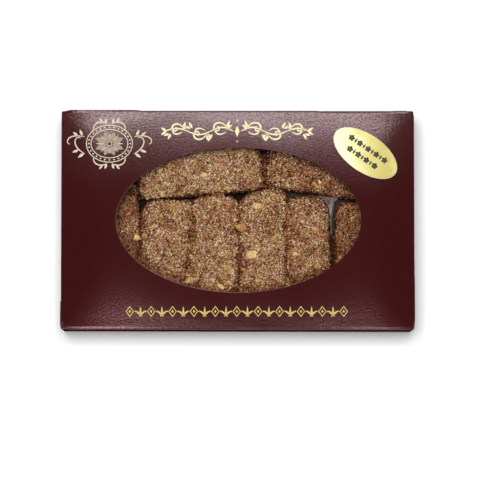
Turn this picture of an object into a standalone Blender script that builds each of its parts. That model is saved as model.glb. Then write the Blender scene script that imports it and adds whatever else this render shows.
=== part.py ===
"""Windowed candy carton holding eight nut-coated bars of english toffee.

The shut carton lies on its bottom panel with the window up: +X runs along its
long side, +Y towards the lid's hinge and +Z up. Lengths are in metres, and
the origin is the middle of the carton's underside.
"""
import math
import random

import bmesh
import bpy
from mathutils import Euler, Matrix, Vector, noise
from mathutils.bvhtree import BVHTree

# Carton of folded board
CARTON_LENGTH = 0.1772
CARTON_WIDTH = 0.1103
CARTON_HEIGHT = 0.0286
BOARD = 0.0006
FOLD_RADIUS = 0.0008
FOLD_STEPS = 3
GAP = 0.0003

# Oval window in the lid, and the clear film behind it
WINDOW_CENTRE = (0.0006, 0.0)
WINDOW_HALF_LENGTH = 0.0616
WINDOW_HALF_WIDTH = 0.0365
WINDOW_SIDES = 96
FILM_MARGIN = 0.008
FILM = 0.0002

# Open joints of the board: under the lid's raw edges and at its tucked front
SEAM = 0.0003
SEAM_DEPTH = 0.00035
TUCK_DROP = 0.0014

# Glued corner flaps on the outside of the end walls, at the front
FLAP = 0.0003
FLAP_TAPER = 0.0025
FLAP_EDGE = 0.002
LEFT_FLAP_LENGTH = 0.0136
RIGHT_FLAP_LENGTH = 0.0272

# Oval foil label on the lid
LABEL_CENTRE = (0.0644, 0.0338)
LABEL_HALF_LENGTH = 0.0184
LABEL_HALF_WIDTH = 0.0095
LABEL_TURN = -35.0
LABEL_SIDES = 48
LABEL = 0.0002

# Paper liner on the carton's floor, pushed up where three bars leave a gap
LINER = 0.0002
LINER_CLEARANCE = 0.0012
# Outline of the raised place seen from above, and its height at each corner
RAISED_LINER = [
    (0.0479, -0.0080, 0.0020), (0.0471, 0.0030, 0.0090), (0.0457, 0.0088, 0.0120),
    (0.0430, 0.0120, 0.0115), (0.0518, 0.0112, 0.0115), (0.0507, 0.0083, 0.0120),
    (0.0490, 0.0030, 0.0090), (0.0484, -0.0080, 0.0020),
]

# Toffee bars: what they share
BAR_FLOOR = BOARD + GAP + LINER + GAP
BAR_CELLS = (18, 8, 5)
CROWN_SQUARENESS = 3.6
BASE_SQUARENESS = 7.0
HIDDEN_CORNER = 0.006
SWELL = 0.0009
SWELL_WAVE = 0.014
CRUMB_RELIEF = 0.0010
CRUMB_WAVE = 0.0045
SIDE_RELIEF = 0.2

# Each bar: middle, size, turn of its long axis from +X in degrees, widening
# towards its first end, slant of that end, radius of that end's two corners
# (left, right seen along the bar), and lift of that end in degrees
BARS = {
    "toffee_back_left": dict(
        at=(-0.0195, 0.0260), size=(0.0638, 0.0240, 0.0170), turn=5.0,
        widening=0.0, slant=0.0, corners=(0.007, 0.005), lift=0.0),
    "toffee_back_right": dict(
        at=(0.0452, 0.0261), size=(0.0608, 0.0240, 0.0155), turn=171.6,
        widening=0.0, slant=0.0, corners=(0.009, 0.006), lift=0.0),
    "toffee_front_1": dict(
        at=(-0.0626, -0.0136), size=(0.0610, 0.0240, 0.0160), turn=90.0,
        widening=0.0, slant=0.0, corners=(0.007, 0.008), lift=-1.0),
    "toffee_front_2": dict(
        at=(-0.0378, -0.0191), size=(0.0612, 0.0232, 0.0172), turn=86.6,
        widening=0.13, slant=0.0, corners=(0.009, 0.005), lift=0.5),
    "toffee_front_3": dict(
        at=(-0.0124, -0.0173), size=(0.0622, 0.0249, 0.0170), turn=87.6,
        widening=-0.10, slant=0.0, corners=(0.007, 0.005), lift=0.0),
    "toffee_front_4": dict(
        at=(0.0130, -0.0139), size=(0.0606, 0.0233, 0.0182), turn=90.0,
        widening=0.0, slant=-0.22, corners=(0.006, 0.007), lift=1.2),
    "toffee_front_5": dict(
        at=(0.0362, -0.0168), size=(0.0598, 0.0218, 0.0166), turn=91.0,
        widening=-0.05, slant=0.0, corners=(0.004, 0.008), lift=0.0),
    "toffee_front_6": dict(
        at=(0.0612, -0.0199), size=(0.0606, 0.0240, 0.0158), turn=88.4,
        widening=0.0, slant=0.0, corners=(0.007, 0.007), lift=-0.5),
}

# Larger nut pieces bedded in the coat: x, y and diameter
LARGE_NUTS = [
    (-0.0525, -0.0079, 0.0034), (-0.0469, -0.0069, 0.0026),
    (-0.0246, -0.0302, 0.0038), (-0.0085, -0.0330, 0.0036),
    (-0.0063, -0.0231, 0.0036), (0.0028, -0.0028, 0.0042),
    (0.0099, 0.0079, 0.0046), (0.0084, -0.0175, 0.0048),
    (0.0388, -0.0038, 0.0034), (-0.0165, 0.0237, 0.0032),
    (-0.0053, 0.0252, 0.0028), (0.0419, 0.0201, 0.0028),
]

# Smaller nut pieces, spread evenly over each bar
NUT_ROWS = 6
NUT_COLUMNS = 2
NUT_REACH = (0.85, 0.7)
NUT_SHIFT_ALONG = (0.25, 0.75)
NUT_SHIFT_ACROSS = (0.2, 0.8)
NUT_DIAMETERS = (0.0020, 0.0032)
NUT_SEED = 26

# Form of a nut piece: its sides as shares of its diameter, and how it lies
NUT_LENGTHS = (0.9, 1.1)
NUT_WIDTHS = (0.75, 0.95)
NUT_DEPTH = 0.85
NUT_FLATNESS = 0.7
NUT_SINK = 0.18

MAROON = (0.050, 0.0070, 0.0065)
TOFFEE_BROWN = (0.240, 0.115, 0.055)
LINER_GREY = (0.52, 0.48, 0.45)
FILM_CLEAR = (0.95, 0.95, 0.95)
LABEL_GOLD = (0.86, 0.70, 0.27)


def clear_scene():
    for thing in list(bpy.data.objects):
        bpy.data.objects.remove(thing, do_unlink=True)


def new_collection(name):
    collection = bpy.data.collections.new(name)
    bpy.context.scene.collection.children.link(collection)
    return collection


def move_to(thing, collection):
    for holder in list(thing.users_collection):
        holder.objects.unlink(thing)
    collection.objects.link(thing)


def material(name, colour, roughness, metallic=0.0, alpha=1.0):
    result = bpy.data.materials.new(name)
    result.use_nodes = True
    shader = result.node_tree.nodes["Principled BSDF"]
    shader.inputs["Base Color"].default_value = (*colour, 1.0)
    shader.inputs["Roughness"].default_value = roughness
    shader.inputs["Metallic"].default_value = metallic
    shader.inputs["Alpha"].default_value = alpha
    return result


def box(name, low, high, collection):
    """A plain box between two corners, with its scale applied."""
    low = Vector(low)
    high = Vector(high)
    bpy.ops.mesh.primitive_cube_add(size=1.0, location=(low + high) / 2)
    result = bpy.context.object
    result.name = name
    result.data.transform(Matrix.Diagonal((*(high - low), 1.0)))
    move_to(result, collection)
    return result


def oval(name, half_length, half_width, depth, centre, sides, turn, collection):
    """A flat-ended oval prism, centred on a point."""
    bpy.ops.mesh.primitive_cylinder_add(
        vertices=sides, radius=1.0, depth=1.0, location=centre,
        rotation=(0.0, 0.0, math.radians(turn)))
    result = bpy.context.object
    result.name = name
    result.data.transform(Matrix.Diagonal((half_length, half_width, depth, 1.0)))
    move_to(result, collection)
    return result


def boolean(target, operation, collection, solver="EXACT"):
    modifier = target.modifiers.new(operation.title(), "BOOLEAN")
    modifier.operation = operation
    modifier.operand_type = "COLLECTION"
    modifier.collection = collection
    modifier.solver = solver
    return modifier


def hide_guides(collection):
    for guide in collection.objects:
        guide.hide_render = True
        guide.display_type = "WIRE"


def corner_flap(name, side, length, collection):
    """A glued flap on an end wall's outside, at the carton's front corner."""
    wall_x = side * CARTON_LENGTH / 2
    front_y = -CARTON_WIDTH / 2 + FOLD_RADIUS
    x_range = sorted((wall_x - side * BOARD / 2, wall_x + side * FLAP))
    flap = box(
        name,
        (x_range[0], front_y, FLAP_EDGE),
        (x_range[1], front_y + length, CARTON_HEIGHT - FLAP_EDGE),
        collection)
    middle_z = CARTON_HEIGHT / 2
    flap_middle_y = front_y + length / 2
    for vertex in flap.data.vertices:
        place = flap.matrix_world @ vertex.co
        if place.y > flap_middle_y:
            vertex.co.z += FLAP_TAPER if place.z < middle_z else -FLAP_TAPER
    return flap


def make_carton(parts, cutters, additions, board):
    """One folded board: hollow, with the window and its open joints cut."""
    half_length = CARTON_LENGTH / 2
    half_width = CARTON_WIDTH / 2
    carton = box(
        "carton", (-half_length, -half_width, 0.0),
        (half_length, half_width, CARTON_HEIGHT), parts)
    folds = carton.modifiers.new("Folds", "BEVEL")
    folds.width = FOLD_RADIUS
    folds.segments = FOLD_STEPS

    corner_flap("left_flap", -1, LEFT_FLAP_LENGTH, additions)
    corner_flap("right_flap", 1, RIGHT_FLAP_LENGTH, additions)
    boolean(carton, "UNION", additions)

    box("cavity",
        (-half_length + BOARD, -half_width + BOARD, BOARD),
        (half_length - BOARD, half_width - BOARD, CARTON_HEIGHT - BOARD), cutters)
    oval("window", WINDOW_HALF_LENGTH, WINDOW_HALF_WIDTH, BOARD * 4,
         (*WINDOW_CENTRE, CARTON_HEIGHT), WINDOW_SIDES, 0.0, cutters)
    lid_underside = CARTON_HEIGHT - BOARD - SEAM
    for side in (-1, 1):
        x_range = sorted((side * (half_length - SEAM_DEPTH), side * (half_length + BOARD)))
        box("end_seam",
            (x_range[0], -half_width + FOLD_RADIUS * 2, lid_underside - SEAM),
            (x_range[1], half_width - FOLD_RADIUS * 2, lid_underside), cutters)
    box("tuck_seam",
        (-half_length + FOLD_RADIUS * 2, -half_width - BOARD, CARTON_HEIGHT - TUCK_DROP),
        (half_length - FOLD_RADIUS * 2, -half_width + SEAM_DEPTH,
         CARTON_HEIGHT - TUCK_DROP + SEAM), cutters)
    boolean(carton, "DIFFERENCE", cutters)
    carton.data.materials.append(board)
    return carton


def make_film(parts, clear):
    top = CARTON_HEIGHT - BOARD - GAP
    reach_x = WINDOW_HALF_LENGTH + FILM_MARGIN
    reach_y = WINDOW_HALF_WIDTH + FILM_MARGIN
    film = box(
        "window_film",
        (WINDOW_CENTRE[0] - reach_x, WINDOW_CENTRE[1] - reach_y, top - FILM),
        (WINDOW_CENTRE[0] + reach_x, WINDOW_CENTRE[1] + reach_y, top), parts)
    film.data.materials.append(clear)
    return film


def make_label(parts, foil):
    middle = CARTON_HEIGHT + GAP + LABEL / 2
    label = oval(
        "label", LABEL_HALF_LENGTH, LABEL_HALF_WIDTH, LABEL,
        (*LABEL_CENTRE, middle), LABEL_SIDES, LABEL_TURN, parts)
    label.data.materials.append(foil)
    return label


def split_box(mesh, cuts):
    """Split a box mesh along planes across each axis, at the listed places."""
    work = bmesh.new()
    work.from_mesh(mesh)
    for axis, places in enumerate(cuts):
        normal = Vector((0.0, 0.0, 0.0))
        normal[axis] = 1.0
        for place in places:
            everything = work.verts[:] + work.edges[:] + work.faces[:]
            bmesh.ops.bisect_plane(
                work, geom=everything, dist=1e-7, plane_co=normal * place, plane_no=normal)
    work.to_mesh(mesh)
    work.free()


def make_liner(parts, additions, paper):
    """A flat sheet, with the place where it is pushed up between the bars."""
    bottom = BOARD + GAP
    reach_x = CARTON_LENGTH / 2 - LINER_CLEARANCE
    reach_y = CARTON_WIDTH / 2 - LINER_CLEARANCE
    liner = box("liner", (-reach_x, -reach_y, bottom), (reach_x, reach_y, bottom + LINER), parts)
    raised = bpy.data.objects.new("raised_liner", bpy.data.meshes.new("raised_liner"))
    additions.objects.link(raised)
    work = bmesh.new()
    foot = [work.verts.new((x, y, bottom + LINER / 2)) for x, y, _ in RAISED_LINER]
    outline = work.faces.new(foot)
    lifted = bmesh.ops.extrude_face_region(work, geom=[outline])["geom"]
    tops = [item for item in lifted if isinstance(item, bmesh.types.BMVert)]
    for vertex in tops:
        nearest = min(RAISED_LINER, key=lambda corner: math.dist(corner[:2], vertex.co[:2]))
        vertex.co.z += nearest[2]
    bmesh.ops.recalc_face_normals(work, faces=work.faces)
    bmesh.ops.triangulate(work, faces=work.faces)
    work.to_mesh(raised.data)
    work.free()
    boolean(liner, "UNION", additions)
    liner.data.materials.append(paper)
    return liner


def corner_reach(along, across, half_length, half_width, radius):
    """How far a line from the middle runs to a rounded rectangle's outline."""
    widest = max(abs(along), abs(across), 1e-9)
    x = abs(along) * half_length / widest
    y = abs(across) * half_width / widest
    past_x = x - (half_length - radius)
    past_y = y - (half_width - radius)
    if past_x <= 0 or past_y <= 0:
        return 1 / widest
    direction = Vector((x, y)).normalized()
    centre = Vector((half_length - radius, half_width - radius))
    nearest = direction.dot(centre)
    inside = nearest ** 2 - centre.length_squared + radius ** 2
    reach = nearest + math.sqrt(max(inside, 0.0))
    return reach / math.hypot(x, y) / widest


def bar_surface(cube_point, bar):
    """Carry a point of the cube from -1 to 1 onto the bar's smooth surface."""
    along, across, up = cube_point
    length, width, height = bar["size"]
    left, right = bar["corners"]
    radius = HIDDEN_CORNER
    if along > 0:
        radius = left if across > 0 else right
    plan = 1 / corner_reach(along, across, length / 2, width / 2, radius)
    rounding = CROWN_SQUARENESS if up > 0 else BASE_SQUARENESS
    reach = (plan ** rounding + abs(up) ** rounding) ** (-1 / rounding)
    x = along * reach * length / 2
    y = across * reach * width / 2 * (1 + bar["widening"] * along * reach)
    z = up * reach * height / 2
    return Vector((x + bar["slant"] * y * (1 + along * reach) / 2, y, z))


def bar_relief(place, normal):
    """Uneven swelling and crumb relief of the nut coat, less on the sides."""
    swell = noise.noise(place / SWELL_WAVE) * SWELL
    crumb = noise.noise(place / CRUMB_WAVE) * CRUMB_RELIEF
    share = SIDE_RELIEF + (1 - SIDE_RELIEF) * max(normal.z, 0.0)
    return (swell + crumb) * share


def bar_matrix(bar):
    lift = Matrix.Rotation(-math.radians(bar["lift"]), 4, "Y")
    turn = Matrix.Rotation(math.radians(bar["turn"]), 4, "Z")
    middle = Matrix.Translation((*bar["at"], BAR_FLOOR + bar["size"][2] / 2))
    return middle @ turn @ lift


def make_bar(name, bar, parts, coat, nuts_of_this_bar):
    """A rounded bar with its crumb relief and its larger nut pieces fused on."""
    bpy.ops.mesh.primitive_cube_add(size=2.0)
    result = bpy.context.object
    result.name = name
    move_to(result, parts)
    cuts = [[-1 + 2 * step / count for step in range(1, count)] for count in BAR_CELLS]
    split_box(result.data, cuts)
    place = bar_matrix(bar)
    for vertex in result.data.vertices:
        vertex.co = place @ bar_surface(vertex.co, bar)
    result.data.update()
    normals = [vertex.normal.copy() for vertex in result.data.vertices]
    for vertex, normal in zip(result.data.vertices, normals):
        vertex.co += normal * bar_relief(vertex.co, normal)
        vertex.co.z = max(vertex.co.z, BAR_FLOOR)
    add_nuts(result, nuts_of_this_bar, bar)
    result.data.materials.clear()
    result.data.materials.append(coat)
    result.data.shade_smooth()
    return result


def nut_places(bar, draw):
    """Evenly spread places on the bar's top, each moved a little at random."""
    places = []
    reach_along, reach_across = NUT_REACH
    for row in range(NUT_ROWS):
        for column in range(NUT_COLUMNS):
            row_share = (row + draw.uniform(*NUT_SHIFT_ALONG)) / NUT_ROWS
            column_share = (column + draw.uniform(*NUT_SHIFT_ACROSS)) / NUT_COLUMNS
            along = row_share * 2 * reach_along - reach_along
            across = column_share * 2 * reach_across - reach_across
            top = bar_matrix(bar) @ bar_surface(Vector((along, across, 1.0)), bar)
            places.append((top.x, top.y, draw.uniform(*NUT_DIAMETERS)))
    return places


def add_nuts(bar_object, large_nuts, bar):
    """Fuse rough nut pieces to the bar where a line from above meets it."""
    seed = NUT_SEED + round(bar["at"][0] * 1e4)
    draw = random.Random(seed)
    nuts = list(large_nuts)
    for place in nut_places(bar, draw):
        clear_of_large = all(
            math.dist(place[:2], other[:2]) > (place[2] + other[2]) / 2 for other in large_nuts)
        if clear_of_large:
            nuts.append(place)
    tree = BVHTree.FromPolygons(
        [vertex.co for vertex in bar_object.data.vertices],
        [polygon.vertices for polygon in bar_object.data.polygons])
    bits = new_collection(bar_object.name + "_nuts")
    for x, y, diameter in nuts:
        hit = tree.ray_cast(Vector((x, y, CARTON_HEIGHT)), Vector((0, 0, -1)))[0]
        if hit is None:
            continue
        bpy.ops.mesh.primitive_ico_sphere_add(subdivisions=1, radius=diameter / 2)
        nut = bpy.context.object
        spin = Euler([draw.uniform(0, math.tau) for _ in range(3)]).to_matrix().to_4x4()
        sides = (draw.uniform(*NUT_LENGTHS), draw.uniform(*NUT_WIDTHS), NUT_DEPTH)
        rough = Matrix.Diagonal((*sides, 1.0))
        flat = Matrix.Diagonal((1.0, 1.0, NUT_FLATNESS, 1.0))
        sunk = Matrix.Translation(hit - Vector((0, 0, diameter * NUT_SINK * NUT_FLATNESS)))
        nut.data.transform(sunk @ flat @ spin @ rough)
        move_to(nut, bits)
    fuse(bar_object, bits)


def fuse(target, bits):
    """Union a collection's pieces into the target, then remove the pieces."""
    boolean(target, "UNION", bits)
    view = bpy.context.evaluated_depsgraph_get()
    fused = bpy.data.meshes.new_from_object(target.evaluated_get(view))
    target.modifiers.clear()
    target.data = fused
    for bit in list(bits.objects):
        bpy.data.objects.remove(bit, do_unlink=True)
    bpy.data.collections.remove(bits)


def nuts_for(bar):
    """The large nut pieces whose place lies on this bar, seen from above."""
    inverse = bar_matrix(bar).inverted()
    length, width, _ = bar["size"]
    found = []
    for x, y, diameter in LARGE_NUTS:
        local = inverse @ Vector((x, y, BAR_FLOOR))
        inside_length = abs(local.x) < length / 2 - diameter / 2
        inside_width = abs(local.y) < width / 2 - diameter / 2
        if inside_length and inside_width:
            found.append((x, y, diameter))
    return found


def main():
    clear_scene()
    parts = new_collection("windowed_toffee_carton")
    cutters = new_collection("cutters")
    flaps = new_collection("corner_flaps")
    liner_additions = new_collection("liner_additions")

    board = material("carton_board", MAROON, 0.25)
    clear = material("clear_film", FILM_CLEAR, 0.05, alpha=0.15)
    foil = material("gold_label", LABEL_GOLD, 0.3, metallic=0.6)
    paper = material("liner_paper", LINER_GREY, 0.7)
    coat = material("nut_coat", TOFFEE_BROWN, 0.75)

    make_carton(parts, cutters, flaps, board)
    make_film(parts, clear)
    make_label(parts, foil)
    make_liner(parts, liner_additions, paper)
    for name, bar in BARS.items():
        make_bar(name, bar, parts, coat, nuts_for(bar))
    for guides in (cutters, flaps, liner_additions):
        hide_guides(guides)


main()
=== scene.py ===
"""Looks of a windowed carton of english toffee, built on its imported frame.

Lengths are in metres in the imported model's frame: +X runs along the carton's
long side, +Y towards the lid's hinge and +Z up. Ornaments are drawn in
millimetres and laid on the lid.
"""
import math
import random
from itertools import product

import bmesh
import bpy
import numpy as np
from mathutils import Euler, Matrix, Vector, noise
from mathutils.bvhtree import BVHTree


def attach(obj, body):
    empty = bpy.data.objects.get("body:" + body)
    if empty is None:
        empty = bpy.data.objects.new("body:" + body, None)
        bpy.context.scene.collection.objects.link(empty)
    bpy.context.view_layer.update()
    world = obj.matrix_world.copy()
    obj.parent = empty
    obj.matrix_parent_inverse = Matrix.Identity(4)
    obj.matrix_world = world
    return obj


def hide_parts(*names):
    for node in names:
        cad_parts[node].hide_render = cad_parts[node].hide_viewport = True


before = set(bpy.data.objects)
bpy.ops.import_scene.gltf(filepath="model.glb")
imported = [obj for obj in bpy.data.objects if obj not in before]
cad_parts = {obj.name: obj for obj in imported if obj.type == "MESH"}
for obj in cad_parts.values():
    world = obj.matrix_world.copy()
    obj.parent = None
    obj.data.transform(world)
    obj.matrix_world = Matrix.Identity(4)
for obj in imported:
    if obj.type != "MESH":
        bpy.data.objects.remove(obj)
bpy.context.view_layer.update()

MM = 0.001
TINY = 1e-9

# Carton of folded board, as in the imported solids
HALF_LENGTH = 0.08882
HALF_WIDTH = 0.05515
CARTON_HEIGHT = 0.0286
BOARD = 0.0006
FOLD_RADIUS = 0.0008
LID_FOLD = 0.0005
CORNER_RADIUS = 0.0013
LID_CROWN = 0.0006
LID_FLATNESS = 8
LID_WAVE = 0.00003
LID_WAVE_LENGTH = 0.030
LID_WAVE_FADE = 6
TUCK_DEPTH = 0.011
TUCK_TAPER = 0.985
TUCK_LEAN = 0.0002
FRONT_DROP = 0.0012
END_DROP = 0.0009
WALL_BOW = 0.0002
RIGHT_MORE = 0.0002
FRONT_SKEW = 0.00017
# How far the back fold stands out along the lid: place and overhang
BACK_FOLD = (
    (-0.0888, 0.0007), (-0.0500, 0.0006), (-0.0490, 0.0002), (0.0400, 0.0002),
    (0.0440, -0.00015), (0.0740, -0.00015), (0.0800, 0.0002), (0.0888, 0.0002))
FLAP = 0.0003
FLAP_SPRING = 0.0002
FLAP_EDGE = 0.002
FLAP_TAPER = 0.0025
FLAP_RISE = 6
FLAP_START = 0.1
FLAP_LENGTHS = {"left": 0.0136, "right": 0.0272}

# How finely the carton, its film and its liner are divided
LID_COLUMNS = 240
LID_ROWS = 30
FOLD_STEPS = 6
WALL_STEPS = 24
WALL_ROWS = 8
CORNER_STEPS = 5
FLAP_CELLS = (16, 8)
SHEET_CELL = 0.002

# The laminate's colours on the lid and on the walls, and its sheen; the walls'
# lighter maroon is a painted reflection in place of their gloss
MAROON = (0.0318, 0.0036, 0.0034)
WALL_PAINTED_SHEEN_MAROON = (0.044, 0.0095, 0.0100)
SHEEN_TINT = (1.0, 0.79, 0.82)
LINEN_DEPTH = 0.0000052

# Window in the lid and the film behind it
WINDOW_CENTRE = (0.00048, 0.0)
WINDOW_HALF_LENGTH = 0.0616
WINDOW_HALF_WIDTH = 0.0365
# The cut edge shows more away from its narrow side, which is in degrees
CUT_WIDTH = 0.00006
CUT_WIDTH_MORE = 0.00024
CUT_DROP = 0.00012
CUT_SUPPORT = 0.00006
CUT_NARROW_SIDE = 35.0

FILM_MARGIN = 0.008
FILM_DROP = 0.0009
FILM_WAVE = 0.00012
FILM_WAVE_LENGTH = 0.021

# Oval label on the lid
LABEL_CENTRE = (0.0644, 0.0338)
LABEL_HALF_LENGTH = 0.0184
LABEL_HALF_WIDTH = 0.0095
LABEL_TURN = -35.0
LABEL_GLOW_TURN = 12.0
LABEL_LIFT = 0.00025
LABEL_THICKNESS = 0.00018
LABEL_RIM = 0.985
LABEL_RIM_DROP = 0.00006
LABEL_RINGS = (0.15, 0.3, 0.45, 0.6, 0.75, 0.88, 0.95, LABEL_RIM, 1.0)
LABEL_SIDES = 96
# Painted sheen on the label's foil: pale at its left end, deeper gold towards its right
LABEL_PAINTED_SHEEN_GOLDS = (
    (0.0, (0.74, 0.76, 0.59)), (0.30, (0.66, 0.66, 0.36)), (0.55, (0.52, 0.48, 0.160)),
    (0.80, (0.45, 0.39, 0.110)), (1.0, (0.62, 0.60, 0.21)))
INK_LIFT = 0.00004
FOIL_LIFT = 0.00006

# Ornaments: centres on the lid, and each foil's colour, metal and roughness
MEDALLION_CENTRE = (-0.0646, 0.0386)
SCROLL_CENTRE = (-0.0002, 0.0449)
BORDER_CENTRE = (-0.0004, -0.0461)
BORDER_COUNT = 21
BORDER_PITCH = 5.375
PEN_STEPS_PER_MM = 2.5
LEAF_STEPS = 8
STEM_STEPS = 60
# The medallion and scroll at the lid's back take paler, brighter golds than the border at its
# front: one gold foil with a painted highlight where the lid's sheen is strongest
FOILS = {
    "pale_gold_painted_sheen": ((0.62, 0.56, 0.42), 0.35, 0.5),
    "tan": ((0.34, 0.26, 0.20), 0.2, 0.6),
    "bright_gold_painted_sheen": ((0.80, 0.74, 0.46), 0.35, 0.5),
    "yellow_gold": ((0.55, 0.46, 0.14), 0.3, 0.5),
}

# Liner on the carton's floor, and its raised place between three bars
LINER_BOTTOM = 0.0009
LINER_HALF_LENGTH = 0.0874
LINER_HALF_WIDTH = 0.05395
LINER_CRUMPLE = 0.00012
LINER_WAVE_LENGTH = 0.008
# Outline of the raised place, with the height that it reaches at each corner
RAISED_LINER = [
    (0.0474, -0.0050, 0.0030), (0.0466, 0.0007, 0.0070), (0.0459, 0.0055, 0.0105),
    (0.0450, 0.0095, 0.0118), (0.0428, 0.0117, 0.0095), (0.0368, 0.0138, 0.0035),
    (0.0368, 0.0152, 0.0035), (0.0440, 0.0138, 0.0105), (0.0512, 0.0132, 0.0112),
    (0.0515, 0.0115, 0.0115), (0.0495, 0.0100, 0.0118), (0.0484, 0.0055, 0.0105),
    (0.0480, 0.0007, 0.0070), (0.0480, -0.0050, 0.0030),
]
RAISED_EDGE = 0.00045
RAISED_CELL = 0.0002
RAISED_MARGIN = 0.0004
RAISED_AREA = ((0.0362, -0.0056), (0.0521, 0.0158))
RAISED_BLEND = 1e-5
RAISED_LIFT = 0.0001
RAISED_SAG = 0.0011
RAISED_SAG_REACH = 0.0012
CREASE = 0.0005
CREASE_WAVE_LENGTH = 0.0016

# Toffee bars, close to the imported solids
BAR_FLOOR = 0.0014
CROWN_SQUARENESS = 3.0
BASE_SQUARENESS = 7.0
HIDDEN_CORNER = 0.006
SIDE_RELIEF = 0.2
# Wave lengths and depths of the coat's relief
COAT_RELIEF = ((0.014, 0.0009), (0.0045, 0.0010), (0.0017, 0.0003))
CORE_CELL = 0.0008
NUT_ROWS = 6
NUT_COLUMNS = 2
NUT_DIAMETERS = (0.0020, 0.0032)
NUT_FLATNESS = 0.7
NUT_NARROWNESS = 0.8
NUT_SINK = 0.18
NUT_SEED = 26
LUMP_RADIUS = 0.47

# Uneven form of a larger nut piece: noise by pace and depth, then flat cuts
NUT_REACH = 1.1
NUT_BUMPS = ((1.5, 0.4), (5, 0.36))
NUT_CUTS = 8
NUT_CUT_DEPTH = (0.5, 0.85)
NUT_CUT_EDGE = 0.3
NUT_FULLNESS = 1.3

# Bars as in the imported solids: middle, size, turn, widening, slant, corners
# and lift, with how pale the coat is and the painted shade on its two flanks; the
# darker tones of the bars near the window's ends are partly painted shade
PLAIN_BAR = dict(widening=0.0, slant=0.0, lift=0.0, flanks=(0.0, 0.0))
BARS = {
    "toffee_back_left": dict(
        PLAIN_BAR, at=(-0.0195, 0.0260), size=(0.0638, 0.0240, 0.0170), turn=5.0,
        corners=(0.007, 0.005), tone=0.7),
    "toffee_back_right": dict(
        PLAIN_BAR, at=(0.0452, 0.0261), size=(0.0608, 0.0240, 0.0155), turn=171.6,
        corners=(0.009, 0.006), tone=-0.6),
    "toffee_front_1": dict(
        PLAIN_BAR, at=(-0.0626, -0.0136), size=(0.0610, 0.0240, 0.0160), turn=90.0,
        corners=(0.007, 0.008), lift=-1.0, tone=-0.1, flanks=(-1.3, -0.4)),
    "toffee_front_2": dict(
        PLAIN_BAR, at=(-0.0378, -0.0191), size=(0.0612, 0.0232, 0.0172), turn=86.6,
        widening=0.13, corners=(0.009, 0.005), lift=0.5, tone=0.45, flanks=(-1.4, 0.3)),
    "toffee_front_3": dict(
        PLAIN_BAR, at=(-0.0124, -0.0173), size=(0.0622, 0.0249, 0.0170), turn=87.6,
        widening=-0.10, corners=(0.007, 0.005), tone=0.5, flanks=(-2.4, -0.4)),
    "toffee_front_4": dict(
        PLAIN_BAR, at=(0.0130, -0.0139), size=(0.0606, 0.0233, 0.0182), turn=90.0,
        slant=-0.22, corners=(0.006, 0.007), lift=1.2, tone=0.5, flanks=(-1.3, -0.2)),
    "toffee_front_5": dict(
        PLAIN_BAR, at=(0.0362, -0.0168), size=(0.0598, 0.0218, 0.0166), turn=91.0,
        widening=-0.05, corners=(0.004, 0.008), tone=0.2, flanks=(-2.6, -1.0)),
    "toffee_front_6": dict(
        PLAIN_BAR, at=(0.0612, -0.0199), size=(0.0606, 0.0240, 0.0158), turn=88.4,
        corners=(0.007, 0.007), lift=-0.5, tone=-0.65, flanks=(-0.8, -0.4)),
}

# Larger nut pieces bedded in the coat: x, y, diameter and kind
LARGE_NUTS = [
    (-0.0514, -0.0080, 0.0044, "cream_nut"), (-0.0469, -0.0069, 0.0026, "orange_nut"),
    (-0.0236, -0.0300, 0.0050, "golden_nut"), (-0.0085, -0.0330, 0.0036, "cream_nut"),
    (-0.0063, -0.0231, 0.0036, "golden_nut"), (0.0030, -0.0030, 0.0054, "orange_nut"),
    (0.0099, 0.0079, 0.0046, "cream_nut"), (0.0084, -0.0175, 0.0056, "cream_nut"),
    (0.0388, -0.0038, 0.0034, "orange_nut"), (-0.0165, 0.0237, 0.0032, "cream_nut"),
    (-0.0053, 0.0252, 0.0028, "cream_nut"), (0.0419, 0.0201, 0.0028, "cream_nut"),
    (-0.0399, -0.0050, 0.0022, "cream_nut"), (-0.0263, -0.0025, 0.0022, "cream_nut"),
    (-0.0047, -0.0308, 0.0024, "golden_nut"), (-0.0052, 0.0168, 0.0024, "golden_nut"),
    (0.0406, -0.0227, 0.0026, "golden_nut"), (0.0297, -0.0162, 0.0024, "cream_nut"),
    (0.0185, 0.0045, 0.0022, "orange_nut"), (-0.0560, 0.0040, 0.0018, "orange_nut"),
    (0.0331, -0.0116, 0.0018, "orange_nut"), (-0.0127, -0.0167, 0.0018, "orange_nut"),
    (0.0391, 0.0197, 0.0018, "orange_nut"), (-0.0389, 0.0182, 0.0022, "brown_nut"),
]
LINER_CRUMB = (0.0467, 0.0103, 0.0022, "brown_nut")
NUT_COLOURS = {
    "cream_nut": (0.60, 0.43, 0.19),
    "golden_nut": (0.44, 0.285, 0.100),
    "orange_nut": (0.50, 0.25, 0.085),
    "brown_nut": (0.20, 0.075, 0.035),
}

# Crumbs of the coat: colour, share, and how much more of it a pale patch has
CRUMB_KINDS = {
    "cream_crumbs": dict(colour=(0.67, 0.545, 0.352), share=0.20, paleness=1.1),
    "tan_crumbs": dict(colour=(0.57, 0.325, 0.175), share=0.27, paleness=0.5),
    "golden_crumbs": dict(colour=(0.53, 0.315, 0.115), share=0.13, paleness=0.8),
    "brown_crumbs": dict(colour=(0.305, 0.135, 0.068), share=0.21, paleness=-0.8),
    "dark_crumbs": dict(colour=(0.050, 0.016, 0.0050), share=0.11, paleness=-1.2),
    "skin_crumbs": dict(colour=(0.260, 0.060, 0.028), share=0.10, paleness=-0.6),
    "orange_crumbs": dict(colour=(0.500, 0.200, 0.060), share=0.008, paleness=0.0),
}
CRUMB_SPACING = 0.00053
CRUMB_TRIES = 3.2
CRUMB_SIZE = (0.00066, 0.0016)
CRUMB_SIZE_BIAS = 1.4
CRUMB_RISE = 0.16
CRUMB_TILT = 0.5
CHIP_FORMS = 12
CHIP_REACH = (0.65, 1.15)
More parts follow.
